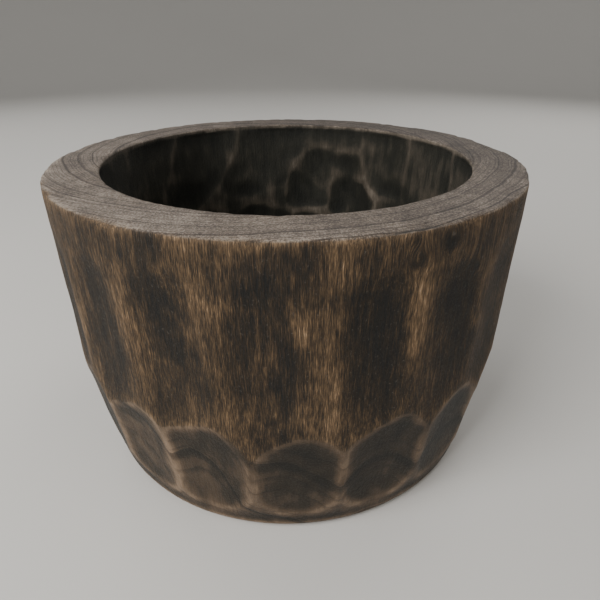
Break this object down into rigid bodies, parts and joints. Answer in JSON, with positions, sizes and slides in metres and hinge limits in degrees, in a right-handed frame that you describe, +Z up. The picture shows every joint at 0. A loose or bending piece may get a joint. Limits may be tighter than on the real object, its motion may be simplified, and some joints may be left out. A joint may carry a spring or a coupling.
{
  "type": "carved wooden bowl",
  "caption": "Deep, thick-walled round bowl carved from one log section, with a broad flat end-grain rim and a gouge-fluted outer wall.",
  "frame": {"origin": "centre of the flat base, on the surface the bowl stands on", "axes": "+Z up along the bowl's round axis, from the base to the rim; -Y is the front"},
  "size_m": [0.3233, 0.3235, 0.208],
  "materials": {
    "dark_stained_wood": "dark brown stain, rubbed back to lighter brown on the ridges, with open pores and a dull wax sheen"
  },
  "bodies": {
    "root": {"bowl_body": "dark_stained_wood"}
  },
  "joints": []
}
